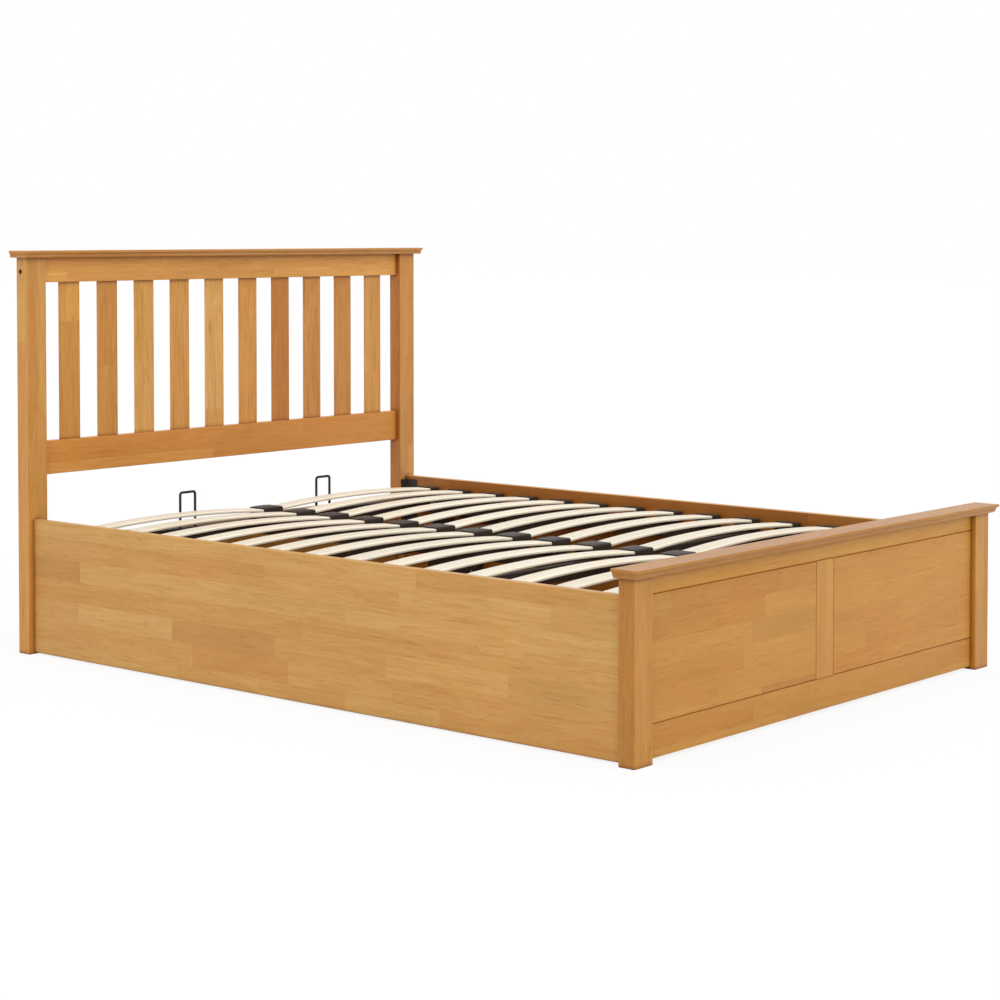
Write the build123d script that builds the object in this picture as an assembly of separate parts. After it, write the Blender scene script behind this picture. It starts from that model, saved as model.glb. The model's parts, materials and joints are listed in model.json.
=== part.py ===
from build123d import *
import math
import os

# A wooden ottoman bed: a slatted headboard, a low panelled footboard and deep side panels round
# a storage box, under a steel frame of bowed slats that lifts on gas struts from the foot end.
# All sizes are millimetres. +Z is up, +Y runs from the footboard to the headboard, and the
# origin is on the floor under the middle of the whole bed.

# Bedstead
bed_width = 1456.0
clear_length = 1903.0
post_width = 62.0
post_depth = 42.0
post_round = 2.0
headboard_height = 1036.0
footboard_height = 406.0

# Moulded caps on the headboard and the footboard
headboard_cap_height = 18.0
footboard_cap_height = 20.0
cap_overhang = 19.0
cap_back_overhang = 6.0
headboard_cap_foot = 13.0
footboard_cap_foot = 8.0
cap_nose = 6.0
cap_quirk = 1.5
cap_round = 1.5
moulding_bulge = 0.8

# Headboard rails and slats
rail_recess = 15.0
rail_thickness = 22.0
top_rail_height = 64.0
lower_rail_height = 87.0
lower_rail_bottom = 457.0
rail_round = 1.5
headboard_slat_count = 10
headboard_slat_width = 65.0
headboard_slat_thickness = 8.0
headboard_slat_round = 1.5
slat_housing = 10.0
tenon_length = 28.0
tenon_thickness = 10.0
tenon_shoulder = 12.0
joint_clearance = 0.2
mortise_spare_depth = 1.0

# Bolts that pull the top rail into the headboard posts
rail_bolt_below_cap = 36.0
rail_bolt_radius = 4.0
rail_bolt_length = 78.0
rail_bolt_head_radius = 6.0
rail_bolt_head_height = 7.0
rail_bolt_recess_radius = 6.5
rail_bolt_recess_depth = 13.0
rail_bolt_hole_clearance = 0.3
barrel_nut_radius = 7.0
barrel_nut_length = 14.0
barrel_nut_inset = 30.0
hex_key_size = 6.0
hex_key_depth = 4.0

# Footboard frame and panels
foot_frame_recess = 14.0
foot_frame_thickness = 20.0
foot_rail_bottom = 8.0
foot_bottom_rail_height = 71.0
foot_top_rail_height = 40.0
stile_width = 72.0
panel_thickness = 14.0
panel_tongue = 8.0
panel_tongue_thickness = 6.0
panel_tongue_inset = 4.0
panel_groove_depth = 9.0
groove_chamfer = 2.0
foot_tenon_length = 24.0
same_place = 0.01

# Side panels and the panel that closes the box at the head end
side_panel_recess = 17.0
side_panel_thickness = 20.0
side_panel_bottom = 4.0
side_panel_height = 343.0
side_panel_round = 2.0
head_end_panel_thickness = 18.0
head_end_panel_bottom = 8.0
head_end_panel_below_side = 62.0

# Base of the storage box
batten_height = 18.0
batten_width = 18.0
end_batten_width = 30.0
base_board_thickness = 9.0
base_board_gap = 1.0
centre_beam_width = 40.0

# Steel angles that join the side panels to the posts
bracket_thickness = 3.0
bracket_height = 206.0
bracket_below_panel_top = 11.0
bracket_panel_leg = 45.0
bracket_post_leg = 22.0
bracket_bolt_radius = 3.0
bracket_bolt_head_radius = 5.5
bracket_bolt_head_height = 3.5
bracket_bolt_bite = 14.0
bracket_bolt_inset = 30.0
bracket_bolt_from_post = 27.0
bracket_bolt_hole_clearance = 0.3

# Lifting frame of rectangular steel tube
frame_below_panel_top = 57.0
tube_height = 40.0
tube_width = 20.0
tube_wall = 1.5
centre_rail_width = 30.0
frame_side_gap = 16.0
frame_foot_gap = 12.0
frame_head_gap = 69.0
cross_tube_rows = 2
plug_flange = 2.0
plug_depth = 18.0
plug_clearance = 0.3

# Bowed slats and their holders
slat_row_target = 127.8
first_row_inset = 114.5
last_row_inset = 46.0
sprung_slat_width = 53.0
sprung_slat_thickness = 8.0
sprung_slat_end_above_frame = 29.0
sprung_slat_rise = 15.0
sprung_slat_centre_inset = 12.0
sprung_slat_side_inset = 4.0
holder_wall = 4.0
holder_roof = 3.2
holder_clearance = 0.3
side_holder_overhang = 6.0
side_holder_length = 36.0
centre_holder_half = 35.0
centre_holder_flat_half = 22.0
centre_holder_height = 35.5
spigot_length = 12.0
spigot_width = 8.0
spigot_depth = 13.0
spigot_clearance = 0.2

# Wire loops that keep the mattress from sliding
retainer_wire = 7.0
retainer_half_width = 26.5
retainer_offset = 257.0
retainer_height = 94.0
retainer_bend = 7.0
retainer_seat_depth = 12.0
retainer_hole_clearance = 0.2

# Hinge at the head end, on both sides
pivot_from_frame_head = 76.0
hinge_plate_thickness = 4.0
hinge_plate_top_radius = 24.0
hinge_plate_low_radius = 15.0
hinge_plate_heel = 40.0
pivot_radius = 6.0
pivot_head_radius = 10.0
pivot_head_height = 5.0
running_clearance = 0.08
side_clearance = 0.3
pivot_bush_radius = 12.0
hinge_arm_thickness = 4.0
hinge_arm_pivot_round = 20.0
hinge_arm_strut_round = 13.0
plate_screw_head_radius = 4.5
plate_screw_head_height = 2.5
plate_screw_radius = 2.2
plate_screw_bite = 15.0
plate_screw_hole_clearance = 0.2
plate_screw_offset = 15.0

# Gas struts
upper_eye_angle = 7.74
strut_rest_angle = 50.0
lower_eye_above_boards = 19.0
lift_angle = 40.0
strut_stud_radius = 4.0
strut_stud_head_radius = 6.0
strut_stud_head_height = 3.0
strut_eye_thickness = 10.0
strut_eye_radius = 9.0
strut_neck_radius = 4.5
cylinder_radius = 10.0
cylinder_bore_radius = 8.5
cylinder_start = 12.0
cylinder_end_wall = 8.0
cylinder_to_eye = 24.0
rod_radius = 4.0
piston_length = 10.0
piston_end_gap = 1.0

# Webbing pull loop on the foot tube
strap_thickness = 2.4
strap_half_span = 70.0
strap_seat = 22.0
strap_rise = 34.0
rivet_head_radius = 5.0
rivet_head_height = 1.5
rivet_radius = 2.0
rivet_hole_clearance = 0.2
rivet_tail = 4.0

# Positions that follow from the sizes above
half_width = bed_width / 2
post_inner = half_width - post_width
total_length = cap_overhang + post_depth + clear_length + post_depth + cap_back_overhang
foot_front = cap_overhang - total_length / 2
foot_back = foot_front + post_depth
head_front = foot_back + clear_length
head_back = head_front + post_depth
headboard_cap_bottom = headboard_height - headboard_cap_height
footboard_cap_bottom = footboard_height - footboard_cap_height
top_rail_bottom = headboard_cap_bottom - top_rail_height
lower_rail_top = lower_rail_bottom + lower_rail_height
rail_bolt_height = headboard_cap_bottom - rail_bolt_below_cap
rail_front = head_front + rail_recess
rail_back = rail_front + rail_thickness
rail_middle = (rail_front + rail_back) / 2
foot_frame_front = foot_front + foot_frame_recess
foot_frame_back = foot_frame_front + foot_frame_thickness
foot_frame_middle = (foot_frame_front + foot_frame_back) / 2
foot_groove_low = foot_rail_bottom + foot_bottom_rail_height
foot_groove_high = footboard_cap_bottom - foot_top_rail_height
side_panel_top = side_panel_bottom + side_panel_height
side_outer = half_width - side_panel_recess
side_inner = side_outer - side_panel_thickness
head_end_panel_top = side_panel_top - head_end_panel_below_side
bracket_top = side_panel_top - bracket_below_panel_top
bracket_bottom = bracket_top - bracket_height
base_board_bottom = side_panel_bottom + batten_height
base_board_top = base_board_bottom + base_board_thickness
frame_top = side_panel_top - frame_below_panel_top
frame_outer = side_inner - frame_side_gap
frame_inner = frame_outer - tube_width
frame_bottom = frame_top - tube_height
frame_foot = foot_back + frame_foot_gap
frame_head = head_front - frame_head_gap
slat_end_height = frame_top + sprung_slat_end_above_frame
slat_crown_height = slat_end_height + sprung_slat_rise
slat_inner_end = sprung_slat_centre_inset
slat_outer_end = frame_outer - sprung_slat_side_inset
first_row = frame_foot + first_row_inset
last_row = frame_head - last_row_inset
row_gaps = max(1, round((last_row - first_row) / slat_row_target))
slat_rows = [first_row + i * (last_row - first_row) / row_gaps for i in range(row_gaps + 1)]
pivot_y = frame_head - pivot_from_frame_head
pivot_z = frame_top - tube_height / 2
strut_x = (frame_inner + frame_outer) / 2
lower_eye_angle = upper_eye_angle + strut_rest_angle
lower_eye_drop = pivot_z - base_board_top - lower_eye_above_boards
strut_arm = lower_eye_drop / math.sin(math.radians(lower_eye_angle))


def turned(y, z, degrees):
    """A point at the end of the strut arm, so many degrees below the frame, seen from the pivot."""
    angle = math.radians(degrees)
    return y - strut_arm * math.cos(angle), z - strut_arm * math.sin(angle)


upper_eye = turned(pivot_y, pivot_z, upper_eye_angle)
lower_eye = turned(pivot_y, pivot_z, lower_eye_angle)
strut_rest_length = 2 * strut_arm * math.sin(math.radians(strut_rest_angle / 2))
strut_full_length = 2 * strut_arm * math.sin(math.radians((strut_rest_angle + lift_angle) / 2))
cylinder_end = strut_rest_length - cylinder_to_eye
cylinder_floor = cylinder_start + cylinder_end_wall
rod_length = strut_rest_length - cylinder_floor - piston_end_gap


def block(x_low, x_high, y_low, y_high, z_low, z_high):
    """A square block between two opposite corners."""
    middle = Pos((x_low + x_high) / 2, (y_low + y_high) / 2, (z_low + z_high) / 2)
    return middle * Box(x_high - x_low, y_high - y_low, z_high - z_low)


def bar_x(x_low, x_high, y, z, radius):
    """A round bar along X."""
    return Pos((x_low + x_high) / 2, y, z) * Rot(0, 90, 0) * Cylinder(radius, x_high - x_low)


def bar_y(y_low, y_high, x, z, radius):
    """A round bar along Y."""
    return Pos(x, (y_low + y_high) / 2, z) * Rot(90, 0, 0) * Cylinder(radius, y_high - y_low)


def bar_z(z_low, z_high, x, y, radius):
    """A round bar along Z."""
    return Pos(x, y, (z_low + z_high) / 2) * Cylinder(radius, z_high - z_low)


def soften(solid, axis, radius):
    """The solid with its edges along one axis rounded."""
    return fillet(solid.edges().filter_by(axis), radius)


def other_side(solid):
    """The same piece for the left side of the bed."""
    return mirror(solid, about=Plane.YZ)


def save(name, solids):
    """Write one sub-part, a single solid or a group of separate ones."""
    pieces = solids if isinstance(solids, list) else [solids]
    whole = []
    for piece in pieces:
        whole.extend(piece.solids())
    shape = whole[0] if len(whole) == 1 else Compound(children=whole)
    export_step(shape, f"parts/{name}.step")


def save_pair(name, right_solids):
    """Write a right-hand sub-part and its mirrored left-hand twin."""
    pieces = right_solids if isinstance(right_solids, list) else [right_solids]
    save(f"{name}_right", pieces)
    save(f"{name}_left", [other_side(piece) for piece in pieces])


# Caps

def moulded_edge(outermost, inward, top, bottom, foot):
    """One moulded side of a cap: a rounded nose, a quirk, a cove and an ovolo down to its foot."""
    nose_bottom = top - cap_nose
    curve_start = outermost + inward * cap_quirk
    curve_end = outermost + inward * (cap_overhang - foot)
    middle_y = (curve_start + curve_end) / 2
    middle_z = (nose_bottom + bottom) / 2
    side_step = inward * moulding_bulge
    cove = ((curve_start + middle_y) / 2 + side_step, (nose_bottom + middle_z) / 2 + moulding_bulge)
    ovolo = ((curve_end + middle_y) / 2 - side_step, (bottom + middle_z) / 2 - moulding_bulge)
    round_middle = cap_round * (1 - math.sqrt(0.5))
    return [
        ThreePointArc(
            (outermost + inward * cap_round, top),
            (outermost + inward * round_middle, top - round_middle),
            (outermost, top - cap_round),
        ),
        Line((outermost, top - cap_round), (outermost, nose_bottom)),
        Line((outermost, nose_bottom), (curve_start, nose_bottom)),
        ThreePointArc((curve_start, nose_bottom), cove, (middle_y, middle_z)),
        ThreePointArc((middle_y, middle_z), ovolo, (curve_end, bottom)),
    ]


def cap(front, back, top, bottom, foot):
    """A cap moulded along its front and both ends, with true mitres where the mouldings meet."""
    end = half_width + cap_overhang
    front_edge = moulded_edge(front, 1, top, bottom, foot)
    front_section = front_edge + [
        Line((front + cap_overhang - foot, bottom), (back, bottom)),
        Line((back, bottom), (back, top)),
        Line((back, top), (front + cap_round, top)),
    ]
    along = extrude(Plane.YZ * make_face(Curve() + front_section), amount=end, both=True)
    right_edge = moulded_edge(end, -1, top, bottom, foot)
    left_edge = moulded_edge(-end, 1, top, bottom, foot)
    foot_half = half_width + foot
    end_section = right_edge + left_edge + [
        Line((foot_half, bottom), (-foot_half, bottom)),
        Line((cap_round - end, top), (end - cap_round, top)),
    ]
    across = extrude(Plane.XZ * make_face(Curve() + end_section), amount=total_length, both=True)
    return along & across


# Headboard

def rail_tenon(bottom, top, extra):
    """The right-hand tenon of the lower headboard rail, grown by extra to make its mortise."""
    return block(
        post_inner, post_inner + tenon_length + extra * mortise_spare_depth / joint_clearance,
        rail_middle - tenon_thickness / 2 - extra, rail_middle + tenon_thickness / 2 + extra,
        bottom + tenon_shoulder - extra, top - tenon_shoulder + extra,
    )


def rail_bolt_hole():
    """The stepped hole through a post for the top rail's bolt."""
    shank = rail_bolt_radius + rail_bolt_hole_clearance
    through = bar_x(post_inner, half_width, rail_middle, rail_bolt_height, shank)
    recess_floor = half_width - rail_bolt_recess_depth
    recess = bar_x(recess_floor, half_width, rail_middle, rail_bolt_height, rail_bolt_recess_radius)
    return through + recess


def headboard_post():
    """The right headboard post, mortised for the lower rail and bored for the top rail's bolt."""
    post = block(post_inner, half_width, head_front, head_back, 0, headboard_cap_bottom)
    post = soften(post, Axis.Z, post_round)
    post -= rail_tenon(lower_rail_bottom, lower_rail_top, joint_clearance)
    return post - rail_bolt_hole()


def headboard_slat_places():
    """The middle of each headboard slat, evenly spaced between the posts."""
    gap = (2 * post_inner - headboard_slat_count * headboard_slat_width) / (headboard_slat_count + 1)
    pitch = gap + headboard_slat_width
    first = -post_inner + gap + headboard_slat_width / 2
    return [first + i * pitch for i in range(headboard_slat_count)]


def headboard_slat(x, extra=0.0):
    """One upright slat with both ends housed in the rails, grown by extra to cut the housings."""
    half = headboard_slat_width / 2 + extra
    thick = headboard_slat_thickness / 2 + extra
    spare = extra * mortise_spare_depth / joint_clearance
    slat = block(
        x - half, x + half, rail_middle - thick, rail_middle + thick,
        lower_rail_top - slat_housing - spare, top_rail_bottom + slat_housing + spare,
    )
    return soften(slat, Axis.Z, headboard_slat_round)


def headboard_top_rail():
    """The top rail, housed for the slats and bored for the bolts and their barrel nuts."""
    rail = block(-post_inner, post_inner, rail_front, rail_back, top_rail_bottom, headboard_cap_bottom)
    rail = fillet(rail.edges().filter_by(Axis.X).group_by(Axis.Z)[0], rail_round)
    bolt_end = half_width - rail_bolt_recess_depth - rail_bolt_length
    shank = rail_bolt_radius + rail_bolt_hole_clearance
    hole = bar_x(bolt_end - mortise_spare_depth, post_inner, rail_middle, rail_bolt_height, shank)
    nut_x = post_inner - barrel_nut_inset
    nut_floor = rail_back - (rail_thickness + barrel_nut_length) / 2 - joint_clearance
    pocket = bar_y(nut_floor, rail_back, nut_x, rail_bolt_height, barrel_nut_radius + joint_clearance)
    for cut in (hole, pocket):
        rail = rail - cut - other_side(cut)
    for x in headboard_slat_places():
        rail -= headboard_slat(x, joint_clearance)
    return rail


def headboard_lower_rail():
    """The lower rail, tenoned into both posts and housed for the slats."""
    rail = block(-post_inner, post_inner, rail_front, rail_back, lower_rail_bottom, lower_rail_top)
    rail = soften(rail, Axis.X, rail_round)
    tenon = rail_tenon(lower_rail_bottom, lower_rail_top, 0)
    rail = rail + tenon + other_side(tenon)
    for x in headboard_slat_places():
        rail -= headboard_slat(x, joint_clearance)
    return rail


def rail_bolt():
    """A right-hand socket-head bolt through the post into the top rail."""
    seat = half_width - rail_bolt_recess_depth
    head_end = seat + rail_bolt_head_height
    shank = bar_x(seat - rail_bolt_length, seat, rail_middle, rail_bolt_height, rail_bolt_radius)
    head = bar_x(seat, head_end, rail_middle, rail_bolt_height, rail_bolt_head_radius)
    socket = Plane.YZ.offset(head_end) * Pos(rail_middle, rail_bolt_height)
    socket = socket * RegularPolygon(hex_key_size / 2, 6, major_radius=False)
    return shank + head - extrude(socket, amount=-hex_key_depth)


def barrel_nut():
    """The right-hand cross nut that the rail bolt screws into."""
    x = post_inner - barrel_nut_inset
    low = rail_middle - barrel_nut_length / 2
    high = rail_middle + barrel_nut_length / 2
    nut = bar_y(low, high, x, rail_bolt_height, barrel_nut_radius)
    hole = bar_x(
        x - barrel_nut_radius, x + barrel_nut_radius, rail_middle, rail_bolt_height,
        rail_bolt_radius + rail_bolt_hole_clearance,
    )
    return nut - hole


# Footboard

def foot_tenon(bottom, top, extra):
    """The right-hand tenon of a footboard rail, grown by extra to make its mortise."""
    return block(
        post_inner, post_inner + foot_tenon_length + extra * mortise_spare_depth / joint_clearance,
        foot_frame_middle - tenon_thickness / 2 - extra, foot_frame_middle + tenon_thickness / 2 + extra,
        bottom - extra, top + extra,
    )


def foot_top_tenon(extra=0.0):
    """The tenon of the footboard's top rail, below the cap."""
    return foot_tenon(foot_groove_high + tenon_shoulder, footboard_cap_bottom - tenon_shoulder, extra)


def foot_bottom_tenon(extra=0.0):
    """The tenon of the footboard's bottom rail."""
    return foot_tenon(foot_rail_bottom + tenon_shoulder, foot_groove_low - tenon_shoulder, extra)


def tongue_room(x_low, x_high, extra=0.0):
    """The space of one footboard panel's tongue, grown by extra to plough its groove."""
    tongue_front = foot_frame_front + panel_tongue_inset
    reach = panel_groove_depth if extra else panel_tongue
    return block(
        x_low - reach, x_high + reach,
        tongue_front - extra, tongue_front + panel_tongue_thickness + extra,
        foot_groove_low - reach, foot_groove_high + reach,
    )


def both_tongue_rooms(extra=0.0):
    """The tongue spaces of both footboard panels."""
    right = tongue_room(stile_width / 2, post_inner, extra)
    return right + other_side(right)


def footboard_post():
    """The right footboard post, mortised for the rails and ploughed for the panel."""
    post = block(post_inner, half_width, foot_front, foot_back, 0, footboard_cap_bottom)
    post = soften(post, Axis.Z, post_round)
    post -= foot_top_tenon(joint_clearance)
    post -= foot_bottom_tenon(joint_clearance)
    return post - both_tongue_rooms(joint_clearance)


def chamfer_front(solid, axis, choose):
    """Chamfer the front edges that run along one axis and pass the test choose."""
    edges = solid.edges().filter_by(axis)
    front = edges.filter_by(lambda e: abs(e.center().Y - foot_frame_front) < same_place)
    return chamfer(front.filter_by(choose), groove_chamfer)


def footboard_rail(bottom, top, groove_height, tenon):
    """A footboard rail with its tenons, its panel groove and its half of the V joint."""
    rail = block(-post_inner, post_inner, foot_frame_front, foot_frame_back, bottom, top)
    rail = chamfer_front(rail, Axis.X, lambda e: abs(e.center().Z - groove_height) < same_place)
    rail = rail + tenon + other_side(tenon)
    return rail - both_tongue_rooms(joint_clearance)


def stile_tenon(extra=0.0):
    """The stub tenons at both ends of the centre stile, in the rails' grooves."""
    tongue_front = foot_frame_front + panel_tongue_inset
    half = stile_width / 2 - panel_groove_depth - mortise_spare_depth + extra
    return block(
        -half, half, tongue_front - extra, tongue_front + panel_tongue_thickness + extra,
        foot_groove_low - panel_tongue - extra, foot_groove_high + panel_tongue + extra,
    )


def footboard_centre_stile():
    """The upright between the two panels, with a V joint on each side."""
    half = stile_width / 2
    stile = block(-half, half, foot_frame_front, foot_frame_back, foot_groove_low, foot_groove_high)
    stile = chamfer_front(stile, Axis.Z, lambda e: True)
    stile -= both_tongue_rooms(joint_clearance)
    return stile + stile_tenon()


def footboard_panel():
    """The right footboard panel, flush with its frame, its V joints on three sides."""
    stile_side = stile_width / 2
    panel_back = foot_frame_front + panel_thickness
    panel = block(stile_side, post_inner, foot_frame_front, panel_back, foot_groove_low, foot_groove_high)
    panel = chamfer_front(panel, Axis.X, lambda e: True)
    panel = chamfer_front(panel, Axis.Z, lambda e: abs(e.center().X - stile_side) < same_place)
    return panel + tongue_room(stile_side, post_inner)


# Storage box

def side_panel():
    """The deep right side panel, its long edges rounded."""
    panel = block(side_inner, side_outer, foot_back, head_front, side_panel_bottom, side_panel_top)
    return soften(panel, Axis.Y, side_panel_round)


def head_end_panel():
    """The panel that closes the storage box between the headboard posts."""
    return block(
        -post_inner, post_inner, rail_front, rail_front + head_end_panel_thickness,
        head_end_panel_bottom, head_end_panel_top,
    )


def base_battens():
    """The four battens that carry the edges of the base boards."""
    low = side_panel_bottom
    high = base_board_bottom
    side = block(side_inner - batten_width, side_inner, foot_back, head_front, low, high)
    foot = block(-post_inner, post_inner, foot_frame_back, foot_frame_back + end_batten_width, low, high)
    head = block(-post_inner, post_inner, rail_front - end_batten_width, rail_front, low, high)
    return [side, other_side(side), foot, head]


def base_centre_beam():
    """The beam on the floor under the middle of the base boards."""
    half = centre_beam_width / 2
    foot = foot_frame_back + end_batten_width
    return block(-half, half, foot, rail_front - end_batten_width, 0, base_board_bottom)


def base_board(y_low, y_high):
    """One of the two base boards."""
    half = side_inner - base_board_gap
    return block(-half, half, y_low, y_high, base_board_bottom, base_board_top)


def bracket_bolt_places():
    """The heights of the bolts in each leg of a corner bracket."""
    return [bracket_bottom + bracket_bolt_inset, bracket_top - bracket_bolt_inset]


def corner_bracket(post_face, into_bed):
    """The right-hand steel angle between a side panel and the post whose face is given."""
    panel_edge = side_inner - bracket_thickness
    leg_end = post_face + into_bed * bracket_panel_leg
    post_leg_face = post_face + into_bed * bracket_thickness
    near, far = sorted((post_face, leg_end))
    panel_leg = block(panel_edge, side_inner, near, far, bracket_bottom, bracket_top)
    near, far = sorted((post_face, post_leg_face))
    post_leg = block(side_inner - bracket_post_leg, side_inner, near, far, bracket_bottom, bracket_top)
    bracket = panel_leg + post_leg
    hole_radius = bracket_bolt_radius + bracket_bolt_hole_clearance
    for hole in bracket_bolt_shanks(post_face, into_bed, hole_radius):
        bracket -= hole
    return bracket


def bracket_bolt_shanks(post_face, into_bed, radius):
    """The shanks of one bracket's bolts, or the holes for them."""
    panel_y = post_face + into_bed * bracket_bolt_from_post
    post_x = side_inner - (bracket_post_leg + bracket_thickness) / 2
    tip = post_face - into_bed * bracket_bolt_bite
    near, far = sorted((tip, post_face + into_bed * bracket_thickness))
    panel_low = side_inner - bracket_thickness
    shanks = []
    for z in bracket_bolt_places():
        shanks.append(bar_x(panel_low, side_inner + bracket_bolt_bite, panel_y, z, radius))
        shanks.append(bar_y(near, far, post_x, z, radius))
    return shanks


def bracket_bolts(post_face, into_bed):
    """The bolts of one right-hand bracket, with their heads."""
    panel_y = post_face + into_bed * bracket_bolt_from_post
    post_x = side_inner - (bracket_post_leg + bracket_thickness) / 2
    panel_leg_face = side_inner - bracket_thickness
    head_low = panel_leg_face - bracket_bolt_head_height
    post_leg_face = post_face + into_bed * bracket_thickness
    near, far = sorted((post_leg_face, post_leg_face + into_bed * bracket_bolt_head_height))
    shanks = bracket_bolt_shanks(post_face, into_bed, bracket_bolt_radius)
    heads = []
    for z in bracket_bolt_places():
        heads.append(bar_x(head_low, panel_leg_face, panel_y, z, bracket_bolt_head_radius))
        heads.append(bar_y(near, far, post_x, z, bracket_bolt_head_radius))
    return [shank + head for shank, head in zip(shanks, heads)]


def bracket_bolt_holes():
    """The pilot holes of every right-hand bracket bolt in the wood."""
    holes = []
    for post_face, into_bed in ((foot_back, 1), (head_front, -1)):
        holes.extend(bracket_bolt_shanks(post_face, into_bed, bracket_bolt_radius))
    return holes


# Lifting frame

def tube_along_y(x_low, x_high, y_low, y_high):
    """A rectangular steel tube along the bed."""
    tube = block(x_low, x_high, y_low, y_high, frame_bottom, frame_top)
    inside = (frame_bottom + tube_wall, frame_top - tube_wall)
    return tube - block(x_low + tube_wall, x_high - tube_wall, y_low, y_high, *inside)


def tube_along_x(x_low, x_high, y_low, y_high):
    """A rectangular steel tube across the bed."""
    tube = block(x_low, x_high, y_low, y_high, frame_bottom, frame_top)
    inside = (frame_bottom + tube_wall, frame_top - tube_wall)
    return tube - block(x_low, x_high, y_low + tube_wall, y_high - tube_wall, *inside)


def spigot(x, y, extra=0.0):
    """The peg under a slat holder, grown by extra to make its slot in the tube."""
    return block(
        x - spigot_width / 2 - extra, x + spigot_width / 2 + extra,
        y - spigot_length / 2 - extra, y + spigot_length / 2 + extra,
        frame_top - spigot_depth, frame_top,
    )


def frame_side_tube():
    """The right side tube, slotted for the slat holders and bored for the hinge pin."""
    tube = tube_along_y(frame_inner, frame_outer, frame_foot, frame_head)
    for y in slat_rows:
        tube -= spigot(strut_x, y, spigot_clearance)
    return tube - bar_x(frame_inner, frame_outer, pivot_y, pivot_z, pivot_radius + running_clearance)


def frame_centre_rail():
    """The centre rail between the foot and head tubes, slotted for the slat holders."""
    half = centre_rail_width / 2
    rail = tube_along_y(-half, half, frame_foot + tube_width, frame_head - tube_width)
    for y in slat_rows:
        rail -= spigot(0, y, spigot_clearance)
    return rail


def frame_head_tube():
    """The head tube, bored on top for the legs of the mattress retainers."""
    tube = tube_along_x(-frame_inner, frame_inner, frame_head - tube_width, frame_head)
    for x in retainer_leg_places():
        hole = bar_z(
            frame_top - tube_wall, frame_top, x, frame_head - tube_width / 2,
            retainer_wire / 2 + retainer_hole_clearance,
        )
        tube = tube - hole - other_side(hole)
    return tube


def frame_foot_tube():
    """The foot tube, bored on top for the rivets of the pull strap."""
    tube = tube_along_x(-frame_inner, frame_inner, frame_foot, frame_foot + tube_width)
    x = strap_half_span - strap_seat / 2
    y = frame_foot + tube_width / 2
    hole = bar_z(frame_top - tube_wall, frame_top, x, y, rivet_radius + rivet_hole_clearance)
    return tube - hole - other_side(hole)


def frame_cross_tubes():
    """The short tubes that join the side tubes to the centre rail, clear of the slats."""
    tubes = []
    for i in range(cross_tube_rows):
        y = frame_foot + (i + 1) * (frame_head - frame_foot) / (cross_tube_rows + 1)
        tube = tube_along_x(centre_rail_width / 2, frame_inner, y - tube_width / 2, y + tube_width / 2)
        tubes += [tube, other_side(tube)]
    return tubes


def frame_end_plugs():
    """The plastic plugs in the open ends of the side tubes."""
    plugs = []
    bore_low = frame_inner + tube_wall + plug_clearance
    bore_high = frame_outer - tube_wall - plug_clearance
    inside = (frame_bottom + tube_wall + plug_clearance, frame_top - tube_wall - plug_clearance)
    for end, outward in ((frame_foot, -1), (frame_head, 1)):
        near, far = sorted((end, end + outward * plug_flange))
        flange = block(frame_inner, frame_outer, near, far, frame_bottom, frame_top)
        near, far = sorted((end, end - outward * plug_depth))
        plug = flange + block(bore_low, bore_high, near, far, *inside)
        plugs += [plug, other_side(plug)]
    return plugs


# Slats and holders

def slat_radius():
    """The radius of the bow of a slat's top face."""
    half_chord = (slat_outer_end - slat_inner_end) / 2
    return (half_chord ** 2 + sprung_slat_rise ** 2) / (2 * sprung_slat_rise)


def slat_top(x):
    """The height of a slat's top face at a distance from the middle of the bed."""
    middle = (slat_inner_end + slat_outer_end) / 2
    radius = slat_radius()
    return slat_crown_height - radius + math.sqrt(radius ** 2 - (x - middle) ** 2)


def bowed_bar(y, extra=0.0):
    """One right-hand bowed slat, grown by extra to cut the pockets that hold it."""
    places = (slat_inner_end - extra, (slat_inner_end + slat_outer_end) / 2, slat_outer_end + extra)
    top = [(x, slat_top(x) + extra) for x in places]
    bottom = [(x, slat_top(x) - sprung_slat_thickness - extra) for x in places]
    section = [
        ThreePointArc(*top),
        Line(top[-1], bottom[-1]),
        ThreePointArc(*reversed(bottom)),
        Line(bottom[0], top[0]),
    ]
    face = Plane.XZ.offset(-y) * make_face(Curve() + section)
    return extrude(face, amount=sprung_slat_width / 2 + extra, both=True)


def holder_block(y, outline):
    """A slat holder's body: its outline in X and Z, as wide as a slat and two walls."""
    face = Plane.XZ.offset(-y) * make_face(Polyline(outline, close=True))
    return extrude(face, amount=sprung_slat_width / 2 + holder_wall, both=True)


def side_holder(y):
    """A right-hand holder for a slat's outer end, pegged into the side tube."""
    high = frame_outer + side_holder_overhang
    low = high - side_holder_length
    roof = holder_roof + holder_clearance
    outline = [
        (low, frame_top), (high, frame_top), (high, slat_top(high) + roof), (low, slat_top(low) + roof),
    ]
    holder = holder_block(y, outline) - bowed_bar(y, holder_clearance)
    return holder + spigot(strut_x, y)


def centre_holder(y):
    """A double holder on the centre rail for the inner ends of two slats."""
    half = centre_holder_half
    flat = centre_holder_flat_half
    top = frame_top + centre_holder_height
    shoulder = slat_top(half) + holder_roof + holder_clearance
    outline = [
        (-half, frame_top), (half, frame_top), (half, shoulder),
        (flat, top), (-flat, top), (-half, shoulder),
    ]
    pocket = bowed_bar(y, holder_clearance)
    return holder_block(y, outline) - pocket - other_side(pocket) + spigot(0, y)


# Mattress retainers and pull strap

def retainer_leg_places():
    """The two legs of the right-hand retainer."""
    return [retainer_offset - retainer_half_width, retainer_offset + retainer_half_width]


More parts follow.
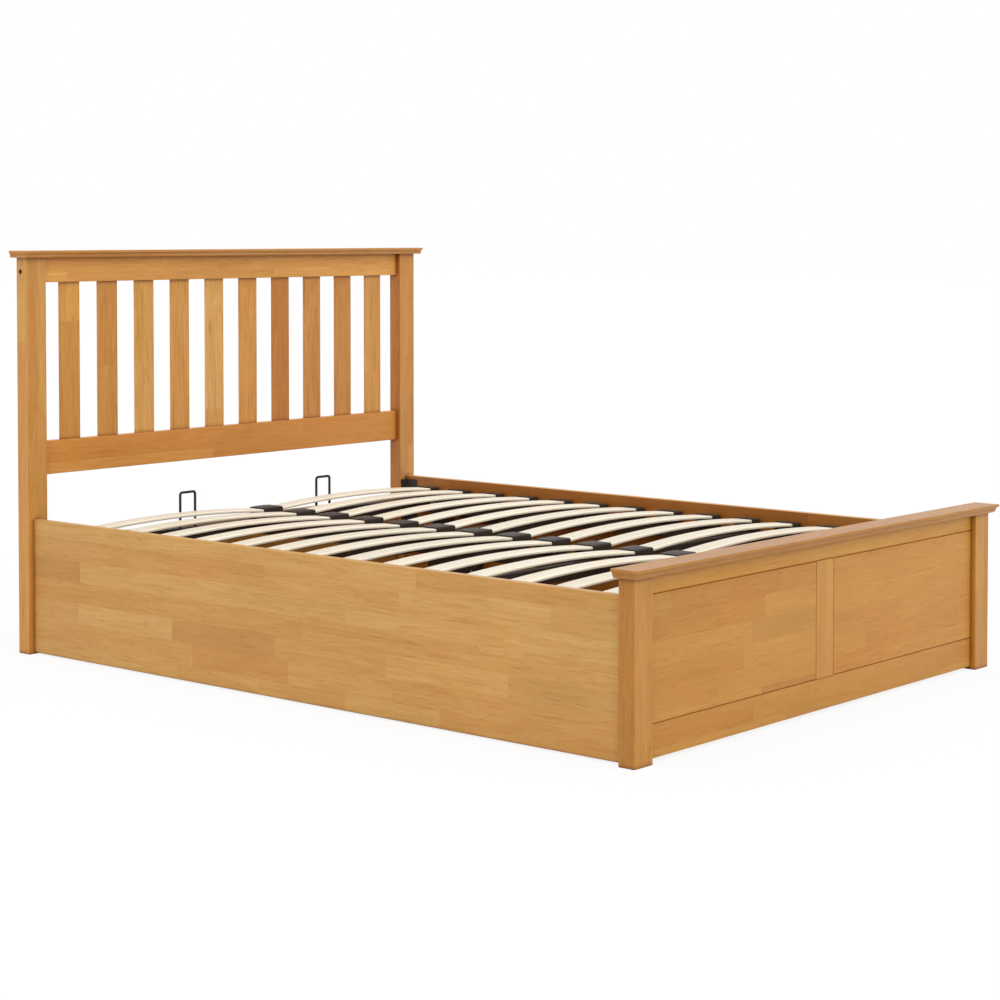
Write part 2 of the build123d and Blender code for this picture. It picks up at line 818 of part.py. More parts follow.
def mattress_retainer():
    """The right-hand wire loop that stands in the head tube."""
    low, high = retainer_leg_places()
    foot = frame_top - retainer_seat_depth
    top = frame_top + retainer_height
    y = frame_head - tube_width / 2
    corners = [(low, y, foot), (low, y, top), (high, y, top), (high, y, foot)]
    path = FilletPolyline(*corners, radius=retainer_bend)
    section = Plane(origin=corners[0], z_dir=(0, 0, 1)) * Circle(retainer_wire / 2)
    return sweep(section, path=path)


def pull_strap():
    """A webbing loop that arches over the middle of the foot tube."""
    seat_end = strap_half_span - strap_seat
    y = frame_foot + tube_width / 2
    low = frame_top
    high = frame_top + strap_thickness
    crown = frame_top + strap_rise
    section = [
        Line((-strap_half_span, low), (-seat_end, low)),
        ThreePointArc((-seat_end, low), (0, crown - strap_thickness), (seat_end, low)),
        Line((seat_end, low), (strap_half_span, low)),
        Line((strap_half_span, low), (strap_half_span, high)),
        Line((strap_half_span, high), (seat_end, high)),
        ThreePointArc((seat_end, high), (0, crown), (-seat_end, high)),
        Line((-seat_end, high), (-strap_half_span, high)),
        Line((-strap_half_span, high), (-strap_half_span, low)),
    ]
    face = Plane.XZ.offset(-y) * make_face(Curve() + section)
    strap = extrude(face, amount=tube_width / 2, both=True)
    hole = bar_z(low, high, strap_half_span - strap_seat / 2, y, rivet_radius + rivet_hole_clearance)
    return strap - hole - other_side(hole)


def strap_rivets():
    """The rivets that hold the ends of the pull strap."""
    x = strap_half_span - strap_seat / 2
    y = frame_foot + tube_width / 2
    seat = frame_top + strap_thickness
    shank = bar_z(frame_top - tube_wall - rivet_tail, seat, x, y, rivet_radius)
    rivet = shank + bar_z(seat, seat + rivet_head_height, x, y, rivet_head_radius)
    return [rivet, other_side(rivet)]


# Hinges

def rounded_plate(x_low, thickness, circles):
    """A flat plate across X whose outline is wrapped round a few circles in Y and Z."""
    edges = Curve() + [Pos(y, z) * Edge.make_circle(radius) for y, z, radius in circles]
    face = Plane.YZ.offset(x_low) * make_hull(edges.edges())
    return extrude(face, amount=thickness)


def plate_screw_places():
    """The wood screws of a hinge plate."""
    low_y, low_z = lower_eye
    heel_y = pivot_y + hinge_plate_heel
    middle_z = (pivot_z + low_z) / 2
    step = plate_screw_offset
    return [
        (heel_y, low_z), (pivot_y, low_z), (low_y + step, low_z + 2 * step),
        (pivot_y - step, middle_z), (heel_y - step, middle_z), (pivot_y, pivot_z - 2 * step),
    ]


def hinge_plate():
    """The right hinge plate on the side panel, with the lower strut's stud welded to it."""
    heel_y = pivot_y + hinge_plate_heel
    circles = [
        (pivot_y, pivot_z, hinge_plate_top_radius),
        (lower_eye[0], lower_eye[1], hinge_plate_low_radius),
        (heel_y, lower_eye[1], hinge_plate_low_radius),
    ]
    face_x = side_inner - hinge_plate_thickness
    plate = rounded_plate(face_x, hinge_plate_thickness, circles)
    plate -= bar_x(face_x, side_inner, pivot_y, pivot_z, pivot_radius + joint_clearance)
    for y, z in plate_screw_places():
        plate -= bar_x(face_x, side_inner, y, z, plate_screw_radius + plate_screw_hole_clearance)
    return plate + strut_stud(lower_eye, face_x)


def strut_stud(eye, plate_face):
    """A right-hand stud from a plate through a strut's eye, with its retaining head."""
    eye_inner = strut_x - strut_eye_thickness / 2 - side_clearance
    head = bar_x(eye_inner - strut_stud_head_height, eye_inner, *eye, strut_stud_head_radius)
    return bar_x(eye_inner - strut_stud_head_height, plate_face, *eye, strut_stud_radius) + head


def plate_screws():
    """The screws of the right hinge plate."""
    face_x = side_inner - hinge_plate_thickness
    screws = []
    for y, z in plate_screw_places():
        head = bar_x(face_x - plate_screw_head_height, face_x, y, z, plate_screw_head_radius)
        screws.append(head + bar_x(face_x, side_inner + plate_screw_bite, y, z, plate_screw_radius))
    return screws


def hinge_pin():
    """The right pivot pin, with its head inside the side tube and a spacing bush at the plate."""
    head_high = frame_inner - side_clearance
    head = bar_x(head_high - pivot_head_height, head_high, pivot_y, pivot_z, pivot_head_radius)
    shank = bar_x(head_high, side_inner, pivot_y, pivot_z, pivot_radius)
    bush_low = frame_outer + hinge_arm_thickness + side_clearance
    bush_high = side_inner - hinge_plate_thickness
    bush = bar_x(bush_low, bush_high, pivot_y, pivot_z, pivot_bush_radius)
    return head + shank + bush


def hinge_arm():
    """The right hinge arm on the outer face of the side tube, with the upper strut's stud."""
    circles = [
        (pivot_y, pivot_z, hinge_arm_pivot_round),
        (upper_eye[0], upper_eye[1], hinge_arm_strut_round),
    ]
    arm = rounded_plate(frame_outer, hinge_arm_thickness, circles)
    bore = pivot_radius + running_clearance
    arm -= bar_x(frame_outer, frame_outer + hinge_arm_thickness, pivot_y, pivot_z, bore)
    return arm + strut_stud(upper_eye, frame_outer)


# Gas struts

def along_strut(solid):
    """Stand a solid that was built up +Z on the lower eye, leaning along the right strut."""
    dy = upper_eye[0] - lower_eye[0]
    dz = upper_eye[1] - lower_eye[1]
    lean = math.degrees(math.atan2(-dy, dz))
    return Pos(strut_x, lower_eye[0], lower_eye[1]) * Rot(lean, 0, 0) * solid


def strut_eye(z):
    """The flat eye at one end of a strut, built up +Z."""
    half = strut_eye_thickness / 2
    return bar_x(-half, half, 0, z, strut_eye_radius)


def strut_eye_hole(z):
    """The bore through an eye for its stud."""
    half = strut_eye_thickness / 2
    return bar_x(-half, half, 0, z, strut_stud_radius + running_clearance)


def strut_cylinder():
    """The right strut's cylinder: a bored tube with a gland for the rod and an eye below."""
    body = bar_z(cylinder_start, cylinder_end, 0, 0, cylinder_radius)
    body -= bar_z(cylinder_floor, cylinder_end - cylinder_end_wall, 0, 0, cylinder_bore_radius)
    body -= bar_z(cylinder_end - cylinder_end_wall, cylinder_end, 0, 0, rod_radius + running_clearance)
    body = body + strut_eye(0) + bar_z(0, cylinder_start, 0, 0, strut_neck_radius)
    return along_strut(body - strut_eye_hole(0))


def strut_rod():
    """The right strut's rod, with its piston in the cylinder and its eye on the frame."""
    tip = strut_rest_length - rod_length
    rod = bar_z(tip, strut_rest_length, 0, 0, rod_radius)
    rod += bar_z(tip, tip + piston_length, 0, 0, cylinder_bore_radius - running_clearance)
    rod += strut_eye(strut_rest_length)
    return along_strut(rod - strut_eye_hole(strut_rest_length))


def drilled(solid, holes):
    """A right-hand wooden piece with pilot holes bored in it."""
    for hole in holes:
        solid -= hole
    return solid


def main():
    os.makedirs("parts", exist_ok=True)

    bolt_holes = bracket_bolt_holes()
    screw_holes = [
        bar_x(side_inner, side_inner + plate_screw_bite, y, z, plate_screw_radius)
        for y, z in plate_screw_places()
    ]
    corners = ((foot_back, 1), (head_front, -1))

    save_pair("headboard_post", drilled(headboard_post(), bolt_holes))
    front = head_front - cap_overhang
    back = head_back + cap_back_overhang
    save("headboard_cap", cap(front, back, headboard_height, headboard_cap_bottom, headboard_cap_foot))
    save("headboard_top_rail", headboard_top_rail())
    save("headboard_lower_rail", headboard_lower_rail())
    for number, x in enumerate(headboard_slat_places(), start=1):
        save(f"headboard_slat_{number:02d}", headboard_slat(x))
    bolt = rail_bolt()
    nut = barrel_nut()
    save("headboard_bolts", [bolt, other_side(bolt), nut, other_side(nut)])

    save_pair("footboard_post", drilled(footboard_post(), bolt_holes))
    front = foot_front - cap_overhang
    back = foot_back + cap_back_overhang
    save("footboard_cap", cap(front, back, footboard_height, footboard_cap_bottom, footboard_cap_foot))
    top_rail = footboard_rail(foot_groove_high, footboard_cap_bottom, foot_groove_high, foot_top_tenon())
    bottom_rail = footboard_rail(foot_rail_bottom, foot_groove_low, foot_groove_low, foot_bottom_tenon())
    save("footboard_top_rail", top_rail - stile_tenon(joint_clearance))
    save("footboard_bottom_rail", bottom_rail - stile_tenon(joint_clearance))
    save("footboard_centre_stile", footboard_centre_stile())
    save_pair("footboard_panel", footboard_panel())

    save_pair("side_panel", drilled(side_panel(), bolt_holes + screw_holes))
    save("head_end_panel", head_end_panel())
    save("base_battens", base_battens())
    save("base_centre_beam", base_centre_beam())
    board_foot = foot_back + base_board_gap
    board_head = head_front - base_board_gap
    board_middle = (board_foot + board_head) / 2
    save("base_board_foot", base_board(board_foot, board_middle - base_board_gap / 2))
    save("base_board_head", base_board(board_middle + base_board_gap / 2, board_head))

    brackets = [corner_bracket(face, into_bed) for face, into_bed in corners]
    save("corner_brackets", brackets + [other_side(piece) for piece in brackets])
    bolts = []
    for face, into_bed in corners:
        bolts.extend(bracket_bolts(face, into_bed))
    save("bracket_bolts", bolts + [other_side(piece) for piece in bolts])

    save_pair("frame_side_tube", frame_side_tube())
    save("frame_centre_rail", frame_centre_rail())
    save("frame_head_tube", frame_head_tube())
    save("frame_foot_tube", frame_foot_tube())
    save("frame_cross_tubes", frame_cross_tubes())
    save("frame_end_plugs", frame_end_plugs())
    save_pair("slat_holders", [side_holder(y) for y in slat_rows])
    save("centre_slat_holders", [centre_holder(y) for y in slat_rows])
    save_pair("sprung_slats", [bowed_bar(y) for y in slat_rows])
    save_pair("mattress_retainer", mattress_retainer())
    save("pull_strap", pull_strap())
    save("strap_rivets", strap_rivets())

    save_pair("hinge_plate", hinge_plate())
    screws = plate_screws()
    save("hinge_plate_screws", screws + [other_side(piece) for piece in screws])
    save_pair("hinge_pin", hinge_pin())
    save_pair("hinge_arm", hinge_arm())
    save_pair("strut_cylinder", strut_cylinder())
    save_pair("strut_rod", strut_rod())

    print("rows of slats:", len(slat_rows))
    print("pivot y, z:", round(pivot_y, 3), round(pivot_z, 3))
    print("lower strut eye y, z:", [round(value, 3) for value in lower_eye])
    print("upper strut eye y, z:", [round(value, 3) for value in upper_eye])
    print("strut length at rest and lifted:", round(strut_rest_length, 2), round(strut_full_length, 2))
    piston_top = strut_full_length - rod_length + piston_length
    print("piston to gland when lifted:", round(cylinder_end - cylinder_end_wall - piston_top, 2))


main()
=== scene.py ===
import json
import math

import bmesh
import bpy
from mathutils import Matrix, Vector


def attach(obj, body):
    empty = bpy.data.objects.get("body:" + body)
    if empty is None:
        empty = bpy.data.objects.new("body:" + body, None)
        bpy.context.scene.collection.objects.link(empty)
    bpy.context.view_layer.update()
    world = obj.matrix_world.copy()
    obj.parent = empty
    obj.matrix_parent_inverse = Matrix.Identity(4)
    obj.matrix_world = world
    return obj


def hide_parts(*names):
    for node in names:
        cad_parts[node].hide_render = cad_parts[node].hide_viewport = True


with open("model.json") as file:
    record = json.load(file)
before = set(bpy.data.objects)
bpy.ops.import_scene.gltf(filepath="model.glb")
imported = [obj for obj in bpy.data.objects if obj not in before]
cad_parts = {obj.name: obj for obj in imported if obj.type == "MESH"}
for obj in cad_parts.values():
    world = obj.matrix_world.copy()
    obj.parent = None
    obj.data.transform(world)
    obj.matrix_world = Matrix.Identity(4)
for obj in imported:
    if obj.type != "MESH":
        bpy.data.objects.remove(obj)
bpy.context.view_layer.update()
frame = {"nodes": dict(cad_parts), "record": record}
nodes = frame["nodes"]

# An ottoman bed in honey-lacquered wood: the CAD nodes keep their shapes and get their finishes
# here, and the bowed slats, their holders, the wire retainers and the pull strap are modelled
# again with finer forms. All lengths are metres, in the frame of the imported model.

MM = 0.001

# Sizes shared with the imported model
FIRST_ROW = -818.5 * MM
LAST_ROW = 843 * MM
ROWS = 14
SLAT_ROWS = [FIRST_ROW + i * (LAST_ROW - FIRST_ROW) / (ROWS - 1) for i in range(ROWS)]
SLAT_INNER = 12 * MM
SLAT_OUTER = 671 * MM
SLAT_END_TOP = 319 * MM
SLAT_RISE = 15 * MM
SLAT_WIDTH = 53 * MM
SLAT_THICKNESS = 8 * MM
SLAT_PLIES = 7.0
SLAT_EDGE_ROUND = 3 * MM
SLAT_STATIONS = 49
FRAME_TOP = 290 * MM
HOLDER_HALF_WIDTH = 30.5 * MM
HOLDER_CLEARANCE = 0.3 * MM
HOLDER_ROOF = 3.5 * MM
CENTRE_HOLDER_HALF = 35 * MM
CENTRE_HOLDER_TOP = 325.5 * MM
SIDE_HOLDER_INNER = 645 * MM
SIDE_HOLDER_OUTER = 681 * MM
RETAINER_LEGS = (230.5 * MM, 283.5 * MM)
RETAINER_Y = 879 * MM
RETAINER_FOOT = 278 * MM
RETAINER_TOP = 384 * MM
RETAINER_BEND = 7 * MM
RETAINER_RADIUS = 3.5 * MM
STRAP_Y = -923 * MM
STRAP_WIDTH = 20 * MM
STRAP_THICKNESS = 2.4 * MM
STRAP_HALF_SPAN = 70 * MM
STRAP_HALF_ARCH = 48 * MM
STRAP_RISE = 31.6 * MM
STRAP_RIB = 1.6 * MM
STRAP_THREAD = 0.9 * MM

# Small forms of the pieces that are modelled here
HOLDER_TOP_ROUND = 4.6 * MM
HOLDER_FOOT_ROUND = 1.2 * MM
HOLDER_LIP = 0.9 * MM
POCKET_DEPTH = 14 * MM
OPEN_END = [(0.0, 0.90 * MM), (0.30 * MM, 0.35 * MM), (1.20 * MM, 0.0)]  # distance from the end, inset
CLOSED_END = [(2.40 * MM, 0.0), (0.72 * MM, 0.50 * MM), (0.0, 1.80 * MM)]
STRAP_EDGE_ROUND = 0.9 * MM
SHARP_ANGLE = 32.0


# Shader nodes

class Graph:
    """Adds shader nodes to a tree, one call each, and hands back their outputs."""

    def __init__(self, tree):
        self.tree = tree
        tree.nodes.clear()

    def feed(self, socket, value):
        """Link a socket to another node's output, or set its value."""
        if isinstance(value, bpy.types.NodeSocket):
            self.tree.links.new(value, socket)
        else:
            socket.default_value = value

    def add(self, kind, inputs=None, output=0, **settings):
        """A new node with these settings and inputs. Gives one of its outputs."""
        node = self.tree.nodes.new(kind)
        for name, value in settings.items():
            setattr(node, name, value)
        for key, value in (inputs or {}).items():
            self.feed(node.inputs[key], value)
        return node.outputs[output]

    def math(self, operation, a, b=0.0, clamp=False):
        return self.add("ShaderNodeMath", {0: a, 1: b}, operation=operation, use_clamp=clamp)

    def times_add(self, a, factor, offset):
        return self.add("ShaderNodeMath", {0: a, 1: factor, 2: offset}, operation="MULTIPLY_ADD")

    def combine(self, x, y, z):
        return self.add("ShaderNodeCombineXYZ", {0: x, 1: y, 2: z})

    def split(self, vector):
        node = self.tree.nodes.new("ShaderNodeSeparateXYZ")
        self.feed(node.inputs[0], vector)
        return node.outputs[0], node.outputs[1], node.outputs[2]

    def stretch(self, point, scales):
        """A point with each of its three numbers scaled on its own."""
        return self.combine(*[self.math("MULTIPLY", value, scale) for value, scale in zip(point, scales)])

    def white(self, vector):
        """Three random numbers for a point, the same each time."""
        return self.split(self.add("ShaderNodeTexWhiteNoise", {"Vector": vector}, output=1))

    def noise(self, vector, scale=1.0, detail=2.0, roughness=0.5, distortion=0.0):
        inputs = {"Vector": vector, "Scale": scale, "Detail": detail,
                  "Roughness": roughness, "Distortion": distortion}
        return self.add("ShaderNodeTexNoise", inputs)

    def remap(self, value, low, high, to_low=0.0, to_high=1.0, smooth=False):
        kind = "SMOOTHSTEP" if smooth else "LINEAR"
        inputs = {0: value, 1: low, 2: high, 3: to_low, 4: to_high}
        return self.add("ShaderNodeMapRange", inputs, interpolation_type=kind)

    def ramp(self, value, stops):
        node = self.tree.nodes.new("ShaderNodeValToRGB")
        self.feed(node.inputs[0], value)
        elements = node.color_ramp.elements
        while len(elements) < len(stops):
            elements.new(0.5)
        for element, (place, colour) in zip(elements, stops):
            element.position = place
            element.color = (*colour, 1.0)
        return node.outputs[0]

    def mix(self, factor, a, b, blend="MIX"):
        node = self.tree.nodes.new("ShaderNodeMix")
        node.data_type = "RGBA"
        node.blend_type = blend
        node.clamp_result = False
        self.feed(node.inputs[0], factor)
        self.feed(node.inputs[6], a if isinstance(a, bpy.types.NodeSocket) else (*a, 1.0))
        self.feed(node.inputs[7], b if isinstance(b, bpy.types.NodeSocket) else (*b, 1.0))
        return node.outputs[2]

    def grey(self, value):
        """A number as a colour, to multiply another by."""
        return self.add("ShaderNodeCombineColor", {0: value, 1: value, 2: value})

    def shade(self, colour, value):
        """A colour made lighter or darker by a number."""
        return self.mix(1.0, colour, self.grey(value), "MULTIPLY")

    def attribute(self, name, output):
        return self.add("ShaderNodeAttribute", attribute_name=name, output=output)

    def crevice_shade_and_stain(self, distance, darkest):
        """Painted shade, partly standing for stain gathered in grooves: 1 on open faces, down to darkest in
        grooves, inner corners and between parts.
        """
        node = self.tree.nodes.new("ShaderNodeAmbientOcclusion")
        node.samples = 6
        self.feed(node.inputs["Distance"], distance)
        return self.remap(node.outputs["AO"], 0.30, 0.95, darkest, 1.0)

    def surface(self, colour, roughness, height=None, depth=0.0, **fixed):
        """The shader itself, with a bump from a height map that is depth metres deep."""
        node = self.tree.nodes.new("ShaderNodeBsdfPrincipled")
        self.feed(node.inputs["Base Color"], colour)
        self.feed(node.inputs["Roughness"], roughness)
        for name, value in fixed.items():
            node.inputs[name.replace("_", " ")].default_value = value
        if height is not None:
            bump = self.add("ShaderNodeBump", {"Height": height, "Distance": depth, "Strength": 1.0})
            self.feed(node.inputs["Normal"], bump)
        out = self.tree.nodes.new("ShaderNodeOutputMaterial")
        self.feed(out.inputs[0], node.outputs[0])


def new_material(name):
    """An empty node material and its graph."""
    material = bpy.data.materials.new(name)
    material.use_nodes = True
    return material, Graph(material.node_tree)


def wood_group():
    """Finger-jointed staves of lacquered wood: colour, roughness and height from board coordinates."""
    group = bpy.data.node_groups.new("stave_wood", "ShaderNodeTree")
    sockets = group.interface
    for name in ("Along", "Across", "Depth", "Seed", "Stave Height", "Stave Length", "Contrast"):
        sockets.new_socket(name=name, in_out="INPUT", socket_type="NodeSocketFloat")
    sockets.new_socket(name="Tone", in_out="INPUT", socket_type="NodeSocketColor")
    sockets.new_socket(name="Colour", in_out="OUTPUT", socket_type="NodeSocketColor")
    sockets.new_socket(name="Roughness", in_out="OUTPUT", socket_type="NodeSocketFloat")
    sockets.new_socket(name="Height", in_out="OUTPUT", socket_type="NodeSocketFloat")
    g = Graph(group)
    given = group.nodes.new("NodeGroupInput").outputs

    # Which stave a point is on: rows of one height, cut into lengths that differ from row to row
    row = g.math("FLOOR", g.math("ADD", g.math("DIVIDE", given["Across"], given["Stave Height"]), given["Seed"]))
    row_a, row_b, row_c = g.white(g.combine(row, given["Seed"], 3.0))
    length = g.math("MULTIPLY", given["Stave Length"], g.times_add(row_b, 0.7, 0.65))
    place = g.times_add(row_a, 11.0, g.math("DIVIDE", given["Along"], length))
    stave = g.math("FLOOR", place)
    tint, shift, mark = g.white(g.combine(stave, row, given["Seed"]))

    # The grain runs along each stave and breaks at its ends
    along = g.times_add(shift, 9.0, given["Along"])
    across = g.math("ADD", g.times_add(mark, 5.0, given["Across"]), given["Seed"])
    depth = g.times_add(tint, 5.0, given["Depth"])
    grain = (along, across, depth)
    figure = g.noise(g.stretch(grain, (2.4, 24.0, 24.0)), 1.0, 2.0, 0.5, 0.25)
    rings = g.math("SINE", g.math("MULTIPLY", figure, 46.0))
    streaks = g.noise(g.stretch(grain, (7.0, 170.0, 170.0)), 1.0, 3.0, 0.6)
    fibres = g.noise(g.stretch(grain, (34.0, 900.0, 900.0)), 1.0, 2.0, 0.6)
    pores = g.remap(g.noise(g.stretch(grain, (30.0, 480.0, 480.0)), 1.0, 0.0), 0.66, 0.74, 0.0, 1.0, True)

    value = g.times_add(figure, 0.34, g.times_add(rings, 0.045, g.times_add(streaks, 0.42, 0.12)))
    value = g.times_add(fibres, 0.16, value)
    value = g.times_add(g.math("SUBTRACT", value, 0.57), given["Contrast"], 0.5)
    colour = g.ramp(value, [
        (0.18, (0.500, 0.208, 0.038)), (0.42, (0.605, 0.292, 0.068)),
        (0.62, (0.650, 0.334, 0.090)), (0.85, (0.705, 0.388, 0.124)),
    ])
    brown = g.remap(mark, 0.90, 0.97, 0.0, 0.34)
    colour = g.mix(brown, colour, (0.46, 0.20, 0.045), "MIX")
    colour = g.shade(colour, g.times_add(tint, 0.10, 0.95))
    colour = g.mix(1.0, colour, g.mix(tint, (1.01, 0.94, 0.86), (0.99, 1.05, 1.13)), "MULTIPLY")
    colour = g.shade(colour, g.times_add(pores, -0.14, 1.0))
    flecks = g.remap(g.noise(g.stretch(grain, (11.0, 230.0, 230.0)), 1.0, 1.0), 0.64, 0.76, 0.0, 1.0, True)
    colour = g.mix(g.math("MULTIPLY", flecks, 0.28), colour, (0.33, 0.135, 0.030))
    knots = g.remap(g.noise(g.stretch(grain, (7.0, 30.0, 30.0)), 1.0, 2.0, 0.6), 0.72, 0.80, 0.0, 1.0, True)
    colour = g.mix(g.math("MULTIPLY", knots, 0.42), colour, (0.30, 0.13, 0.032))
    cloud = g.noise(g.combine(given["Along"], given["Across"], given["Seed"]), 4.0, 1.0)
    colour = g.shade(colour, g.times_add(cloud, 0.16, 0.92))
    colour = g.mix(1.0, colour, given["Tone"], "MULTIPLY")
    # Painted shade: grooves, inner corners and the joins between parts turn a deeper brown by ambient occlusion,
    # partly as stain gathered in the grooves.
    colour = g.mix(g.crevice_shade_and_stain(0.012, 0.0), g.mix(1.0, colour, (0.32, 0.18, 0.10), "MULTIPLY"), colour)

    out = group.nodes.new("NodeGroupOutput").inputs
    g.feed(out["Colour"], colour)
    g.feed(out["Roughness"], g.times_add(fibres, 0.14, g.times_add(pores, 0.10, 0.33)))
    g.feed(out["Height"], g.times_add(fibres, 0.5, g.times_add(pores, -0.5, g.math("MULTIPLY", streaks, 0.4))))
    return group


def wood(name, direction, seed, stave_height, stave_length, tone=(1.0, 1.0, 1.0), contrast=1.0, painted_shade=0.0):
    """Lacquered wood whose grain runs along x, y or z, with staves of a height and a length.

    painted_shade paints shade onto the faces that look towards +x, or -x where it is negative, making them a
    deeper brown by that share."""
    material, g = new_material(name)
    place = g.add("ShaderNodeTexCoord", output=3)
    x, y, z = g.split(place)
    along, across, depth = {"x": (x, z, y), "y": (y, z, x), "z": (z, x, y)}[direction]
    made = g.tree.nodes.new("ShaderNodeGroup")
    made.node_tree = WOOD
    given = {"Along": along, "Across": across, "Depth": depth, "Seed": seed, "Stave Height": stave_height,
             "Stave Length": stave_length, "Contrast": contrast, "Tone": (*tone, 1.0)}
    for key, value in given.items():
        g.feed(made.inputs[key], value)
    colour = made.outputs["Colour"]
    # Painted shade on the faces towards one side.
    if painted_shade:
        facing = g.split(g.add("ShaderNodeTexCoord", output=1))[0]
        painted_shade_share = g.remap(g.math("MULTIPLY", facing, math.copysign(1.0, painted_shade)), 0.6, 0.9, 0.0, abs(painted_shade))
        colour = g.mix(painted_shade_share, colour, g.mix(1.0, colour, PAINTED_SHADE_TONE, "MULTIPLY"))
    g.surface(colour, made.outputs["Roughness"], made.outputs["Height"], 0.12 * MM,
              Coat_Weight=0.10, Coat_Roughness=0.20, Specular_IOR_Level=0.25)
    return material


def birch_veneer():
    """Pale laminated slats: fine grain along the bow, and the plies as lines on the edges."""
    material, g = new_material("birch_veneer")
    along, across, up = g.split(g.attribute("grain", 1))
    number = g.attribute("number", 2)
    tint, shift, mark = g.white(g.combine(number, 2.0, 7.0))
    along = g.times_add(shift, 6.0, along)
    across = g.times_add(mark, 3.0, across)
    grain = (along, across, up)
    figure = g.noise(g.stretch(grain, (5.0, 70.0, 20.0)), 1.0, 3.0, 0.55, 0.3)
    dashes = g.noise(g.stretch(grain, (45.0, 700.0, 700.0)), 1.0, 2.0, 0.6)
    value = g.times_add(figure, 0.6, g.math("MULTIPLY", dashes, 0.4))
    colour = g.ramp(value, [
        (0.30, (0.830, 0.700, 0.510)), (0.48, (0.905, 0.815, 0.655)), (0.66, (0.940, 0.865, 0.720)),
    ])
    plies = g.math("FRACT", g.math("ADD", g.math("MULTIPLY", up, SLAT_PLIES / SLAT_THICKNESS), 0.5))
    glue = g.remap(plies, 0.0, 0.16, 0.80, 1.0)
    colour = g.shade(colour, glue)
    colour = g.shade(colour, g.times_add(tint, 0.10, 0.95))
    g.surface(colour, g.times_add(dashes, 0.2, 0.42), dashes, 0.06 * MM, Specular_IOR_Level=0.35)
    return material


def moulded_plastic(name, colour, roughness):
    """Plastic with a fine eroded grain from its mould."""
    material, g = new_material(name)
    place = g.add("ShaderNodeTexCoord", output=3)
    grain = g.noise(place, 2600.0, 2.0, 0.6)
    cloud = g.noise(place, 60.0, 2.0, 0.5)
    paint = g.mix(cloud, tuple(0.8 * c for c in colour), tuple(1.35 * c for c in colour))
    g.surface(paint, g.times_add(cloud, 0.12, roughness), grain, 0.05 * MM, Specular_IOR_Level=0.22)
    return material


def powder_coat(name, colour, roughness):
    """Powder-coated steel, with the coat's slight orange peel and dust in its pores."""
    material, g = new_material(name)
    place = g.add("ShaderNodeTexCoord", output=3)
    peel = g.noise(place, 750.0, 2.0, 0.55)
    dust = g.noise(place, 35.0, 4.0, 0.6)
    paint = g.mix(dust, tuple(0.8 * c for c in colour), tuple(1.5 * c for c in colour))
    g.surface(paint, g.times_add(dust, 0.16, roughness), peel, 0.10 * MM, Specular_IOR_Level=0.28)
    return material


def bare_metal(name, colour, roughness, brush):
    """Plated or polished steel, with fine turning marks of a given strength."""
    material, g = new_material(name)
    place = g.add("ShaderNodeTexCoord", output=3)
    marks = g.noise(g.stretch(g.split(place), (900.0, 900.0, 900.0)), 1.0, 3.0, 0.7)
    cloud = g.noise(place, 90.0, 3.0, 0.6)
    paint = g.mix(cloud, tuple(0.82 * c for c in colour), colour)
    g.surface(paint, g.times_add(marks, brush, roughness), marks, 0.02 * MM, Metallic=1.0)
    return material


def hardboard(name):
    """The thin base boards: brown fibre board with a faint sheen."""
    material, g = new_material(name)
    place = g.add("ShaderNodeTexCoord", output=3)
    fibre = g.noise(place, 420.0, 4.0, 0.7)
    cloud = g.noise(place, 9.0, 3.0, 0.6)
    value = g.times_add(fibre, 0.5, g.math("MULTIPLY", cloud, 0.5))
    colour = g.ramp(value, [(0.35, (0.160, 0.092, 0.045)), (0.65, (0.330, 0.210, 0.115))])
    g.surface(colour, g.times_add(fibre, 0.2, 0.45), fibre, 0.08 * MM, Specular_IOR_Level=0.4)
    return material


def webbing(name):
    """Black woven webbing: ribs across and a thread in each."""
    material, g = new_material(name)
    along, across, up = g.split(g.attribute("grain", 1))
    rib = g.math("SINE", g.math("MULTIPLY", along, 2 * math.pi / STRAP_RIB))
    thread = g.math("SINE", g.math("MULTIPLY", across, 2 * math.pi / STRAP_THREAD))
    weave = g.math("MULTIPLY", rib, thread)
    height = g.times_add(weave, 0.5, 0.5)
    fuzz = g.noise(g.combine(along, across, up), 1800.0, 2.0, 0.6)
    colour = g.mix(height, (0.012, 0.012, 0.013), (0.045, 0.044, 0.046))
    colour = g.shade(colour, g.times_add(fuzz, 0.6, 0.7))
    g.surface(colour, 0.85, height, 0.25 * MM, Specular_IOR_Level=0.3, Sheen_Weight=0.3)
    return material


WOOD = wood_group()

# How much browner the painted shade makes the faces that it falls on
PAINTED_SHADE_TONE = (0.70, 0.48, 0.30)


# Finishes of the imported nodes

def dress(node, material):
    """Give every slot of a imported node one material."""
    mesh = nodes[node].data
    if not mesh.materials:
        mesh.materials.append(material)
    for i in range(len(mesh.materials)):
        mesh.materials[i] = material


# The tone of each headboard slat, from the left. The seventh is darker and redder.
SLAT_TONES = [
    (0.98, 0.98, 0.83), (0.84, 0.75, 0.59), (0.95, 0.92, 0.85), (0.90, 0.80, 0.68), (1.00, 1.00, 1.03),
    (0.99, 0.91, 0.79), (0.78, 0.60, 0.43), (0.82, 0.70, 0.60), (0.84, 0.71, 0.58), (0.91, 0.83, 0.73),
]

for index, tone in enumerate(SLAT_TONES):
    dress("headboard_slat_%02d" % (index + 1), wood(
        "oak_slat_%02d" % (index + 1), "z", 5.3 * index + 0.5, 0.2, 0.42, tone, 1.9,
    ))

# How much painted shade falls on one side of each piece, the inner side of the panels and headboard posts and
# the outer side of the footboard posts: positive for faces towards +x, negative for -x.
PAINTED_SHADE_SIDE = {
    "headboard_post_left": 0.58, "headboard_post_right": -0.58, "side_panel_left": 1.0, "side_panel_right": -1.0,
    "footboard_post_left": -0.40, "footboard_post_right": 0.40,
}

